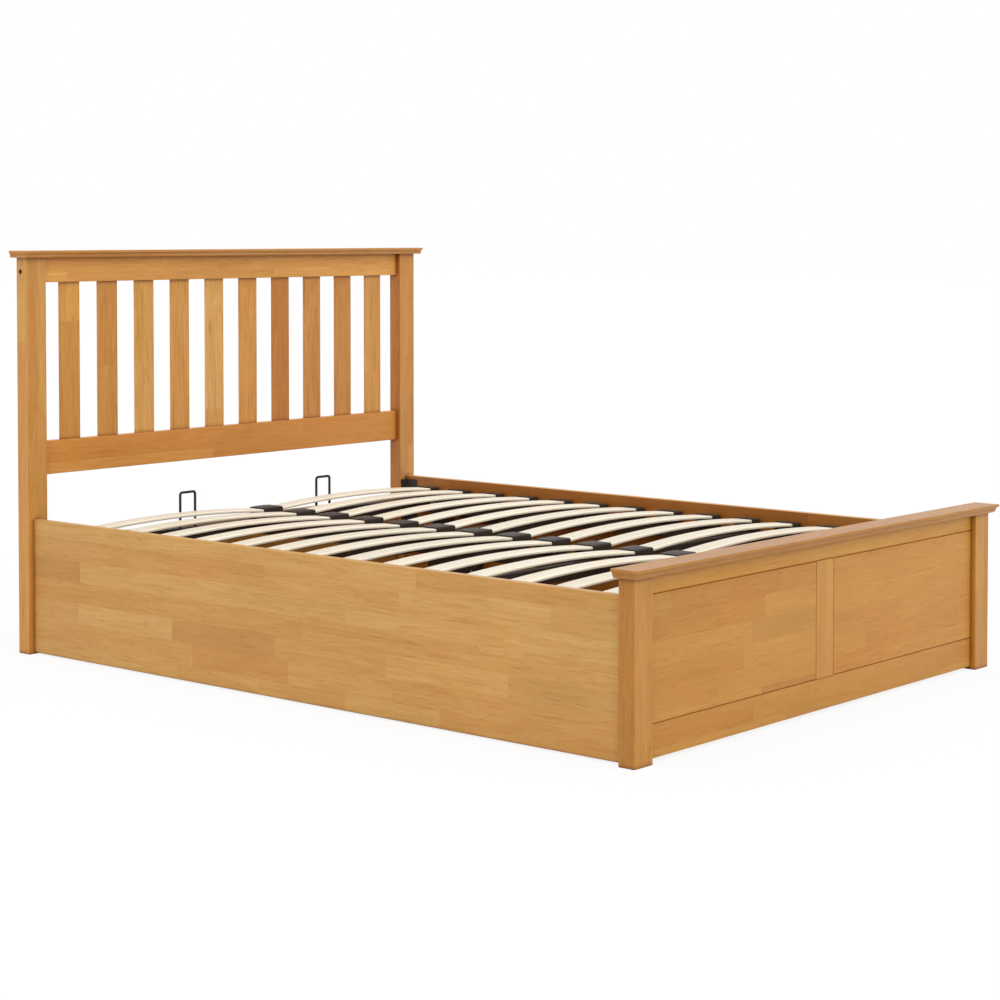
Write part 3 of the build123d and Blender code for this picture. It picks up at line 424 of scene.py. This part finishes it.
for name, direction, seed, height, length, tone, contrast in [
    ("headboard_post_left", "z", 2.1, 0.0315, 0.80, (0.85, 0.81, 0.75), 1.5),
    ("headboard_post_right", "z", 7.7, 0.0315, 0.80, (0.88, 0.79, 0.72), 1.5),
    ("headboard_cap", "x", 3.4, 0.10, 0.70, (0.76, 0.65, 0.58), 1.2),
    ("headboard_top_rail", "x", 9.2, 0.062, 0.90, (1.10, 1.05, 0.95), 1.4),
    ("headboard_lower_rail", "x", 1.6, 0.090, 0.75, (0.96, 0.82, 0.65), 1.2),
    ("footboard_post_left", "z", 4.8, 0.0315, 0.60, (0.72, 0.65, 0.44), 1.2),
    ("footboard_post_right", "z", 6.6, 0.0315, 0.60, (0.74, 0.69, 0.48), 1.2),
    # The foot cap's tone is set darker partly as painted shade, for the shadow on its moulded front.
    ("footboard_cap", "x", 8.3, 0.10, 0.80, (0.62, 0.54, 0.37), 1.0),
    ("footboard_top_rail", "x", 5.5, 0.060, 0.80, (0.80, 0.74, 0.38), 1.1),
    ("footboard_bottom_rail", "x", 0.7, 0.080, 0.80, (0.75, 0.70, 0.44), 1.1),
    ("footboard_centre_stile", "z", 3.9, 0.080, 0.60, (0.76, 0.70, 0.46), 1.1),
    ("footboard_panel_left", "x", 7.1, 0.050, 0.30, (0.74, 0.67, 0.40), 1.0),
    ("footboard_panel_right", "x", 2.6, 0.050, 0.30, (0.77, 0.70, 0.42), 1.0),
    ("side_panel_left", "y", 6.2, 0.053, 0.40, (0.82, 0.85, 0.88), 1.3),
    ("side_panel_right", "y", 1.3, 0.053, 0.40, (0.82, 0.85, 0.88), 1.3),
    ("head_end_panel", "x", 4.1, 0.050, 0.36, (0.70, 0.64, 0.56), 1.0),
    ("base_battens", "y", 8.8, 0.040, 0.60, (0.66, 0.60, 0.52), 1.0),
    ("base_centre_beam", "y", 5.9, 0.040, 0.90, (0.66, 0.60, 0.52), 1.0),
]:
    dress(name, wood("oak_" + name, direction, seed, height, length, tone, contrast, PAINTED_SHADE_SIDE.get(name, 0.0)))

steel = powder_coat("black_powder_coat", (0.034, 0.021, 0.014), 0.50)
wire_coat = powder_coat("wire_powder_coat", (0.014, 0.012, 0.011), 0.45)
dark = powder_coat("bronzed_steel", (0.030, 0.025, 0.021), 0.42)
plastic = moulded_plastic("black_plastic", (0.026, 0.016, 0.010), 0.46)
zinc = bare_metal("zinc_plate", (0.66, 0.65, 0.61), 0.30, 0.16)
chrome = bare_metal("polished_rod", (0.78, 0.78, 0.79), 0.10, 0.04)
gloss_black = powder_coat("strut_paint", (0.018, 0.018, 0.019), 0.28)
board = hardboard("base_fibreboard")
birch = birch_veneer()
strap_cloth = webbing("black_webbing")

FINISHES = {
    "frame_steel": steel, "dark_hardware": dark, "black_plastic": plastic, "zinc_hardware": zinc,
    "strut_rod": chrome, "strut_body": gloss_black, "base_board": board, "birch_veneer": birch,
    "webbing": strap_cloth,
}
for part in frame["record"]["subparts"]:
    if part["material_slot"] in FINISHES:
        dress(part["node"], FINISHES[part["material_slot"]])


# Meshes

def rounded_loop(low_a, high_a, low_b, high_b, high_radius, low_radius=None, steps=4):
    """The points of a rectangle with rounded corners, in order, always the same number of them."""
    low_radius = high_radius if low_radius is None else low_radius
    loop = []
    corners = [(high_a, high_b, high_radius, 0), (low_a, high_b, high_radius, 90),
               (low_a, low_b, low_radius, 180), (high_a, low_b, low_radius, 270)]
    for a, b, radius, start in corners:
        a += radius if a == low_a else -radius
        b += radius if b == low_b else -radius
        for i in range(steps + 1):
            angle = math.radians(start + 90 * i / steps)
            loop.append((a + radius * math.cos(angle), b + radius * math.sin(angle)))
    return loop


class Skin:
    """Collects the points, faces and attributes of one mesh."""

    def __init__(self):
        self.points = []
        self.faces = []
        self.values = {}

    def ring(self, loop, **values):
        """Add one closed ring of points. Each value is a list, or one number for the whole ring."""
        start = len(self.points)
        self.points.extend(loop)
        for name, value in values.items():
            filled = value if isinstance(value, list) else [value] * len(loop)
            self.values.setdefault(name, []).extend(filled)
        return list(range(start, start + len(loop)))

    def loft(self, rings):
        """Faces from each ring to the next. All the rings have as many points."""
        for first, second in zip(rings, rings[1:]):
            count = len(first)
            for i in range(count):
                j = (i + 1) % count
                self.faces.append((first[i], first[j], second[j], second[i]))

    def cap(self, ring):
        """One face that closes a ring."""
        self.faces.append(tuple(ring))

    def bar(self, rings):
        """A loft that is closed at both ends."""
        self.loft(rings)
        self.cap(rings[0])
        self.cap(rings[-1])

    def mirrored(self):
        """The same skin on the other side of the bed."""
        twin = Skin()
        twin.points = [(-x, y, z) for x, y, z in self.points]
        twin.faces = list(self.faces)
        twin.values = dict(self.values)
        return twin

    def build(self, name, body, slot, replaced, material):
        """Make the object, hang it on the empty of the body that it rides on, and hide the imported node that it
        stands for.
        """
        mesh = bpy.data.meshes.new(name)
        mesh.from_pydata(self.points, [], self.faces)
        mesh.validate()
        outward = bmesh.new()
        outward.from_mesh(mesh)
        bmesh.ops.recalc_face_normals(outward, faces=outward.faces)
        outward.to_mesh(mesh)
        outward.free()
        for key, values in self.values.items():
            if isinstance(values[0], tuple):
                layer = mesh.attributes.new(key, "FLOAT_VECTOR", "POINT")
                layer.data.foreach_set("vector", [c for v in values for c in v])
            else:
                layer = mesh.attributes.new(key, "FLOAT", "POINT")
                layer.data.foreach_set("value", values)
        mesh.polygons.foreach_set("use_smooth", [True] * len(mesh.polygons))
        mesh.set_sharp_from_angle(angle=math.radians(SHARP_ANGLE))
        mesh.materials.append(material)
        thing = bpy.data.objects.new(name, mesh)
        bpy.context.scene.collection.objects.link(thing)
        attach(thing, body)
        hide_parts(replaced)
        return thing


# Bowed slats

HALF_CHORD = (SLAT_OUTER - SLAT_INNER) / 2
SLAT_MIDDLE = (SLAT_OUTER + SLAT_INNER) / 2
SLAT_RADIUS = (HALF_CHORD ** 2 + SLAT_RISE ** 2) / (2 * SLAT_RISE)


def slat_top(x):
    """The height of a slat's top face."""
    return SLAT_END_TOP + SLAT_RISE - SLAT_RADIUS + math.sqrt(SLAT_RADIUS ** 2 - (x - SLAT_MIDDLE) ** 2)


def bowed_slats():
    """The right-hand column of slats, each with rounded long edges."""
    skin = Skin()
    half = SLAT_THICKNESS / 2
    loop = rounded_loop(-SLAT_WIDTH / 2, SLAT_WIDTH / 2, -half, half, SLAT_EDGE_ROUND)
    step = (SLAT_OUTER - SLAT_INNER) / (SLAT_STATIONS - 1)
    places = [SLAT_INNER + step * i for i in range(SLAT_STATIONS)]
    for number, y in enumerate(SLAT_ROWS):
        skin.bar([
            skin.ring([(x, y + a, slat_top(x) - half + b) for a, b in loop],
                      grain=[(x, a, b) for a, b in loop], number=float(number))
            for x in places
        ])
    return skin


slats = bowed_slats()
slats.build("bowed_slats_right", "platform", "birch_veneer", "sprung_slats_right", birch)
slats_left = slats.mirrored()
slats_left.values["number"] = [number + 20.0 for number in slats.values["number"]]
slats_left.build("bowed_slats_left", "platform", "birch_veneer", "sprung_slats_left", birch)


# Slat holders

def holder_ring(skin, x, y, top, inset):
    """A ring round a holder's outside, with soft upper edges."""
    loop = rounded_loop(-HOLDER_HALF_WIDTH + inset, HOLDER_HALF_WIDTH - inset, FRAME_TOP + inset, top - inset,
                        HOLDER_TOP_ROUND, HOLDER_FOOT_ROUND)
    return skin.ring([(x, y + a, b) for a, b in loop])


def pocket_ring(skin, x, y, extra):
    """A ring round the slat, grown by extra, where the holder is open for it."""
    top = slat_top(abs(x)) + extra
    loop = rounded_loop(-SLAT_WIDTH / 2 - extra, SLAT_WIDTH / 2 + extra,
                        top - SLAT_THICKNESS - 2 * extra, top, SLAT_EDGE_ROUND)
    return skin.ring([(x, y + a, b) for a, b in loop])


def open_end(skin, outside, y, end, inward):
    """From a holder's open end inwards, which is 1 or -1 along x: a rounded lip and the slat's pocket."""
    rings = [
        outside,
        pocket_ring(skin, end, y, HOLDER_CLEARANCE + HOLDER_LIP),
        pocket_ring(skin, end + inward * HOLDER_LIP, y, HOLDER_CLEARANCE),
        pocket_ring(skin, end + inward * POCKET_DEPTH, y, HOLDER_CLEARANCE),
    ]
    skin.loft(rings)
    skin.cap(rings[-1])


def side_holders():
    """The right-hand holders: a closed outer end and an open one for the slat's end."""
    skin = Skin()
    stations = [(SIDE_HOLDER_INNER + place, inset) for place, inset in OPEN_END]
    stations.append(((SIDE_HOLDER_INNER + SIDE_HOLDER_OUTER) / 2, 0.0))
    stations += [(SIDE_HOLDER_OUTER - place, inset) for place, inset in CLOSED_END]
    for y in SLAT_ROWS:
        rings = [holder_ring(skin, x, y, slat_top(x) + HOLDER_ROOF, inset) for x, inset in stations]
        skin.loft(rings)
        skin.cap(rings[-1])
        open_end(skin, rings[0], y, SIDE_HOLDER_INNER, 1)
    return skin


def centre_holder_top(x):
    """The domed top of a double holder."""
    shoulder = slat_top(CENTRE_HOLDER_HALF) + HOLDER_ROOF
    return CENTRE_HOLDER_TOP - (CENTRE_HOLDER_TOP - shoulder) * (x / CENTRE_HOLDER_HALF) ** 2


def centre_holders():
    """The double holders over the centre rail, open at both ends."""
    skin = Skin()
    half = CENTRE_HOLDER_HALF
    steps = 8
    stations = [(-half + place, inset) for place, inset in OPEN_END]
    stations += [(half * i / steps, 0.0) for i in range(1 - steps, steps)]
    stations += [(half - place, inset) for place, inset in reversed(OPEN_END)]
    for y in SLAT_ROWS:
        rings = [holder_ring(skin, x, y, centre_holder_top(x), inset) for x, inset in stations]
        skin.loft(rings)
        open_end(skin, rings[-1], y, half, -1)
        open_end(skin, rings[0], y, -half, 1)
    return skin


holders = side_holders()
holders.build("side_holders_right", "platform", "black_plastic", "slat_holders_right", plastic)
holders.mirrored().build("side_holders_left", "platform", "black_plastic", "slat_holders_left", plastic)
centre_holders().build("centre_holders", "platform", "black_plastic", "centre_slat_holders", plastic)


# Wire mattress retainers

def retainer():
    """The right-hand wire loop: one round bar with two bends and two straight legs."""
    low, high = RETAINER_LEGS
    bend = RETAINER_BEND
    bend_height = RETAINER_TOP - bend
    leg_steps, bend_steps, sides = 4, 10, 20

    # Points of the middle line in x and z, with the direction that it heads in, in degrees
    leg = [RETAINER_FOOT + (bend_height - RETAINER_FOOT) * i / leg_steps for i in range(leg_steps)]
    path = [(low, z, 90.0) for z in leg]
    for centre, start in ((low + bend, 180.0), (high - bend, 90.0)):
        for i in range(bend_steps + 1):
            turned = start - 90.0 * i / bend_steps
            angle = math.radians(turned)
            path.append((centre + bend * math.cos(angle), bend_height + bend * math.sin(angle), turned - 90.0))
    path += [(high, z, -90.0) for z in reversed(leg)]

    skin = Skin()
    rings = []
    for x, z, heading in path:
        across = (-math.sin(math.radians(heading)), math.cos(math.radians(heading)))
        loop = []
        for i in range(sides):
            angle = 2 * math.pi * i / sides
            a, b = RETAINER_RADIUS * math.cos(angle), RETAINER_RADIUS * math.sin(angle)
            loop.append((x + a * across[0], RETAINER_Y + b, z + a * across[1]))
        rings.append(skin.ring(loop))
    skin.bar(rings)
    return skin


wire = retainer()
wire.build("wire_retainer_right", "platform", "frame_steel", "mattress_retainer_right", wire_coat)
wire.mirrored().build("wire_retainer_left", "platform", "frame_steel", "mattress_retainer_left", wire_coat)


# Pull strap

def strap_path():
    """The middle line of the strap in x and z: flat ends and one arch, with soft bends between."""
    radius = (STRAP_HALF_ARCH ** 2 + STRAP_RISE ** 2) / (2 * STRAP_RISE)
    sweep = math.asin(STRAP_HALF_ARCH / radius)
    low = FRAME_TOP + STRAP_THICKNESS / 2
    seat_steps = round((STRAP_HALF_SPAN - STRAP_HALF_ARCH) / MM)
    arch_steps, soft_reach = 122, 4
    line = [(-STRAP_HALF_SPAN + i * MM, low) for i in range(seat_steps)]
    for i in range(arch_steps + 1):
        angle = -sweep + 2 * sweep * i / arch_steps
        line.append((radius * math.sin(angle), low + STRAP_RISE - radius + radius * math.cos(angle)))
    line += [(STRAP_HALF_ARCH + (i + 1) * MM, low) for i in range(seat_steps)]
    soft = []
    for i in range(len(line)):
        reach = min(soft_reach, i, len(line) - 1 - i)
        near = line[i - reach:i + reach + 1]
        soft.append((sum(x for x, z in near) / len(near), sum(z for x, z in near) / len(near)))
    return soft


def strap():
    """The woven strap, with rounded selvedges. Gives its skin and its length."""
    skin = Skin()
    line = strap_path()
    half = STRAP_THICKNESS / 2
    loop = rounded_loop(-STRAP_WIDTH / 2, STRAP_WIDTH / 2, -half, half, STRAP_EDGE_ROUND)
    travelled = 0.0
    rings = []
    for i, (x, z) in enumerate(line):
        before, after = line[max(i - 1, 0)], line[min(i + 1, len(line) - 1)]
        along = Vector((after[0] - before[0], after[1] - before[1])).normalized()
        if i:
            travelled += math.dist(line[i - 1], line[i])
        rings.append(skin.ring([(x - b * along.y, STRAP_Y + a, z + b * along.x) for a, b in loop],
                               grain=[(travelled, a, b) for a, b in loop]))
    skin.bar(rings)
    return skin, travelled


strap_skin, strap_length = strap()
pull = strap_skin.build("webbing_pull_strap", "platform", "webbing", "pull_strap", strap_cloth)


# Floor, world, lights and camera

FLOOR_REACH = 40.0
FLOOR_GREY = 0.86
FLOOR_WHITENED = 0.86
WORLD_STRENGTH = 0.55

# Each sun's name, where it stands, its strength and its width in degrees
SUNS = [
    ("key", (-0.62, -0.50, 0.60), 1.25, 50),
    ("fill", (0.10, -0.90, 0.50), 0.55, 70),
    ("top", (0.0, 0.0, 1.0), 1.10, 60),
]

CAMERA_PLACE = (-4.3860, -3.7581, 1.0838)
CAMERA_TURN = (88.0, 0.0, -49.47)
CAMERA_LENS = 82.51
CAMERA_SENSOR = 36.0
CAMERA_SHIFT = -0.188

def pale_floor():
    """A wide pale floor that the camera sees nearly white, with a soft shadow left on it."""
    mesh = bpy.data.meshes.new("floor")
    corners = [(-1, -1), (1, -1), (1, 1), (-1, 1)]
    mesh.from_pydata([(FLOOR_REACH * x, FLOOR_REACH * y, 0) for x, y in corners], [], [(0, 1, 2, 3)])
    material, g = new_material("pale_floor")
    plain = g.add("ShaderNodeBsdfDiffuse", {"Color": (FLOOR_GREY, FLOOR_GREY, FLOOR_GREY, 1.0)})
    white = g.add("ShaderNodeEmission", {"Color": (1.0, 1.0, 1.0, 1.0), "Strength": 1.0})
    path = g.tree.nodes.new("ShaderNodeLightPath")
    share = g.math("MULTIPLY", path.outputs["Is Camera Ray"], FLOOR_WHITENED)
    seen = g.add("ShaderNodeMixShader", {0: share, 1: plain, 2: white})
    out = g.tree.nodes.new("ShaderNodeOutputMaterial")
    g.feed(out.inputs[0], seen)
    mesh.materials.append(material)
    floor = bpy.data.objects.new("floor", mesh)
    bpy.context.scene.collection.objects.link(floor)


def soft_world(strength):
    """White to the camera and in reflections, and an even light of a given strength otherwise."""
    world = bpy.data.worlds.new("studio")
    world.use_nodes = True
    g = Graph(world.node_tree)
    path = g.tree.nodes.new("ShaderNodeLightPath")
    seen = g.math("MAXIMUM", path.outputs["Is Camera Ray"], path.outputs["Is Glossy Ray"])
    seen = g.math("MAXIMUM", seen, path.outputs["Is Transmission Ray"])
    light = g.add("ShaderNodeBackground", {"Color": (1.0, 1.0, 1.0, 1.0), "Strength": strength})
    white = g.add("ShaderNodeBackground", {"Color": (1.0, 1.0, 1.0, 1.0), "Strength": 1.0})
    out = g.tree.nodes.new("ShaderNodeOutputWorld")
    g.feed(out.inputs[0], g.add("ShaderNodeMixShader", {0: seen, 1: light, 2: white}))
    bpy.context.scene.world = world


def soft_sun(name, source, strength, spread):
    """A wide sun that shines from the side source."""
    lamp = bpy.data.lights.new(name, "SUN")
    lamp.energy = strength
    lamp.angle = math.radians(spread)
    thing = bpy.data.objects.new(name, lamp)
    thing.rotation_euler = Vector(source).to_track_quat("Z", "Y").to_euler()
    bpy.context.scene.collection.objects.link(thing)


pale_floor()
soft_world(WORLD_STRENGTH)
for sun in SUNS:
    soft_sun(*sun)

camera = bpy.data.cameras.new("camera")
camera.sensor_width = CAMERA_SENSOR
camera.lens = CAMERA_LENS
camera.shift_y = CAMERA_SHIFT
camera.clip_end = 200.0
eye = bpy.data.objects.new("camera", camera)
eye.location = CAMERA_PLACE
eye.rotation_euler = [math.radians(angle) for angle in CAMERA_TURN]
bpy.context.scene.collection.objects.link(eye)
bpy.context.scene.camera = eye
bpy.context.scene.view_settings.view_transform = "Standard"
